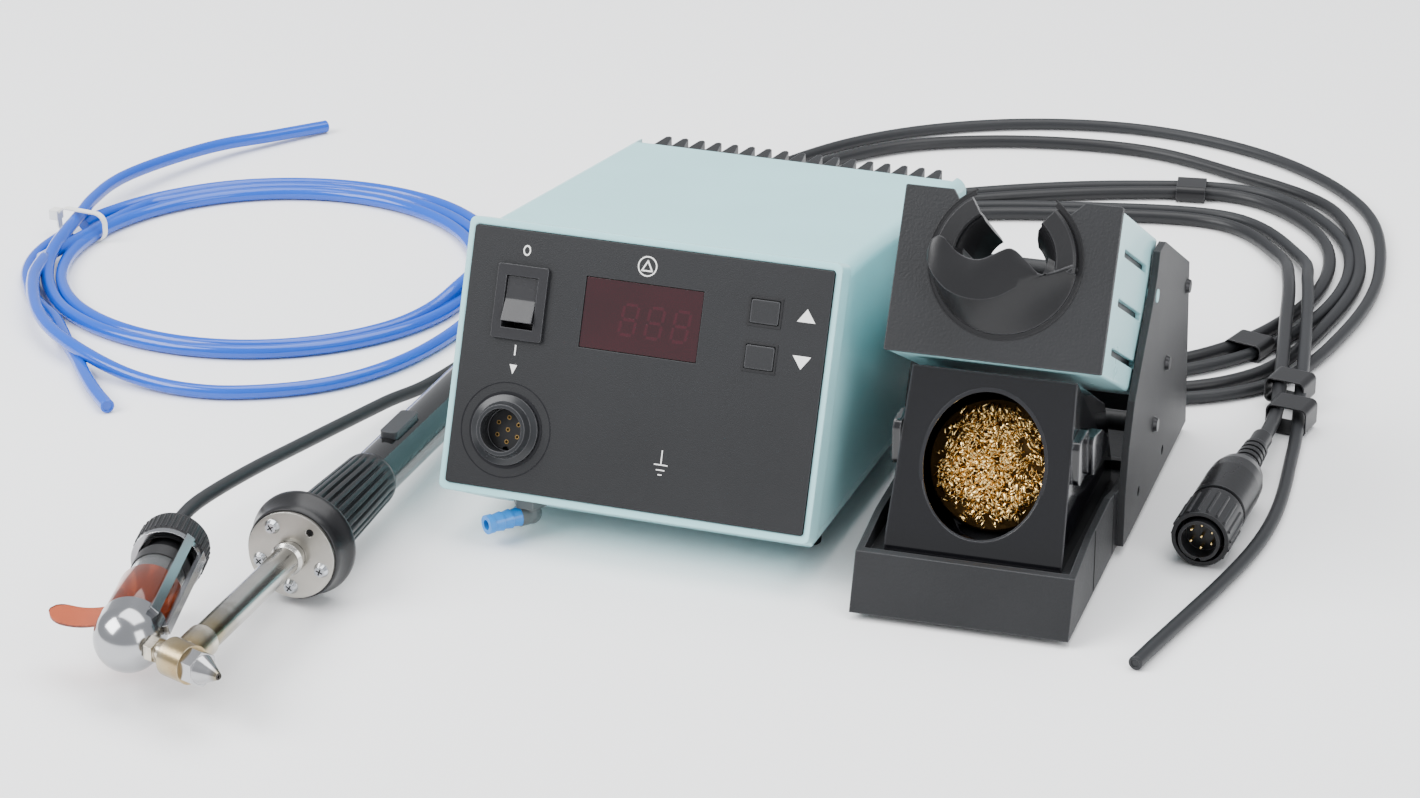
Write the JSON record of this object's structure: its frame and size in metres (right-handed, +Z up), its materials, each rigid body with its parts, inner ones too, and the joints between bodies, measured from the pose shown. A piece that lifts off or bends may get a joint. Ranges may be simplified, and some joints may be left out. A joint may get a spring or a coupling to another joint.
{
  "type": "desoldering station",
  "caption": "Bench desoldering station: control unit with display, tool stand with wool cleaner, desoldering iron on its cable and vacuum hose, and a coil of air hose.",
  "frame": {"origin": "on the bench, under the middle of the unit, stand and iron taken together (cords left out)", "axes": "+Z up, -Y the way the front panel faces, +X to the right seen from the front"},
  "size_m": [0.6638, 0.7932, 0.1626],
  "materials": {
    "teal_case": "satin",
    "teal_light": "satin",
    "black_panel": "fine matt texture",
    "black_plastic": "satin",
    "gloss_black": "gloss",
    "red_window": "dark red, gloss",
    "display": "satin",
    "button_rubber": "matt",
    "circuit_board": "satin",
    "core_steel": "satin",
    "copper_winding": "lacquered",
    "cast_aluminium": "satin",
    "dark_anodised": "satin",
    "elbow_grey": "satin",
    "nipple_blue": "gloss",
    "nickel": "satin",
    "brass_part": "turned",
    "foot_rubber": "matt",
    "stand_black": "fine texture",
    "brass_wool": "curled turnings",
    "nozzle_steel": "fine turned",
    "tinted_steel": "heat tinted",
    "chrome_plate": "polished",
    "grip_black": "satin",
    "handle_gloss": "gloss",
    "clear_glass": "clear",
    "amber_sleeve": "clear amber",
    "cable_black": "matt",
    "hose_black": "satin",
    "air_blue": "satin",
    "tie_white": "milky"
  },
  "bodies": {
    "control_unit": {"upper_housing": "teal_case", "lower_housing": "teal_light", "front_frame": "teal_case", "front_panel": "black_panel", "display_window": "red_window", "display_module": "display", "rocker_frame": "black_plastic", "socket_shell": "black_plastic", "socket_insert": "black_plastic", "front_board": "circuit_board", "main_board": "circuit_board", "transformer_core": "core_steel", "transformer_coil": "copper_winding", "vacuum_ejector": "cast_aluminium", "solenoid_valve": "black_plastic", "vacuum_elbow": "elbow_grey", "vacuum_nipple": "nipple_blue", "heat_sink": "dark_anodised", "rear_panel": "black_panel", "mains_inlet": "black_plastic", "air_inlet": "nickel", "earth_jack": "brass_part", "case_screws": "nickel", "unit_feet": "foot_rubber"},
    "tool_stand": {"stand_base": "stand_black", "side_arm_left": "stand_black", "side_arm_right": "stand_black", "cross_bars": "stand_black", "arm_screws": "nickel", "stand_feet": "foot_rubber"},
    "rest_head": {"head_block": "teal_case", "head_plate": "stand_black", "tool_rest": "black_plastic"},
    "wool_box": {"cleaning_box": "gloss_black", "brass_wool": "brass_wool"},
    "desoldering_iron": {"nozzle": "nozzle_steel", "heater_head": "tinted_steel", "heater_tube": "nozzle_steel", "guard_plate": "tinted_steel", "guard_screws": "chrome_plate", "hand_guard": "grip_black", "ribbed_grip": "grip_black", "handle": "handle_gloss", "collector_dome": "chrome_plate", "collector_glass": "clear_glass", "heat_sleeve": "amber_sleeve", "collector_bridge": "chrome_plate", "collector_cap": "black_plastic", "iron_cable": "cable_black", "vacuum_hose": "hose_black", "hose_clips": "black_plastic", "plug_body": "cable_black"},
    "air_hose": {"air_hose_coil": "air_blue", "air_hose_tail": "air_blue", "hose_tie": "tie_white"},
    "power_rocker": {"power_rocker": "black_plastic"},
    "button_up": {"button_up": "button_rubber"},
    "button_down": {"button_down": "button_rubber"},
    "finger_switch": {"finger_switch": "black_plastic"},
    "plug_ring": {"plug_ring": "black_plastic"}
  },
  "joints": [
    {"name": "power_rocker_tilt", "type": "hinge", "parent": "control_unit", "child": "power_rocker", "pos_m": [-0.06199, 0.01295, 0.09964], "axis": [1, 0, 0], "range_deg": [0, 20]},
    {"name": "button_up_press", "type": "slide", "parent": "control_unit", "child": "button_up", "axis": [0, 0.9311, -0.3649], "range_m": [0, 0.0012], "stiffness_N_per_m": 500, "springref_m": -0.0008},
    {"name": "button_down_press", "type": "slide", "parent": "control_unit", "child": "button_down", "axis": [0, 0.9311, -0.3649], "range_m": [0, 0.0012], "stiffness_N_per_m": 500, "springref_m": -0.0008},
    {"name": "stand_lift", "type": "slide", "parent": "control_unit", "child": "tool_stand", "axis": [0, 0, 1], "range_m": [0, 0.1]},
    {"name": "rest_head_tilt", "type": "hinge", "parent": "tool_stand", "child": "rest_head", "pos_m": [0.13827, 0.11053, 0.099], "axis": [-0.999, -0.0436, 0], "range_deg": [0, 15]},
    {"name": "wool_box_slide", "type": "slide", "parent": "tool_stand", "child": "wool_box", "axis": [0.0382, -0.8738, 0.4848], "range_m": [0, 0.09]},
    {"name": "iron_lift", "type": "slide", "parent": "control_unit", "child": "desoldering_iron", "axis": [0, 0, 1], "range_m": [0, 0.12]},
    {"name": "finger_switch_press", "type": "slide", "parent": "desoldering_iron", "child": "finger_switch", "axis": [0.0009, -0.0297, -0.9996], "range_m": [0, 0.0015], "stiffness_N_per_m": 500, "springref_m": -0.0008},
    {"name": "plug_ring_turn", "type": "hinge", "parent": "desoldering_iron", "child": "plug_ring", "pos_m": [0.22251, 0.05907, 0.0132], "axis": [0.0175, 0.9998, 0], "range_deg": [0, 60]},
    {"name": "air_hose_lift", "type": "slide", "parent": "control_unit", "child": "air_hose", "axis": [0, 0, 1], "range_m": [0, 0.1]}
  ]
}
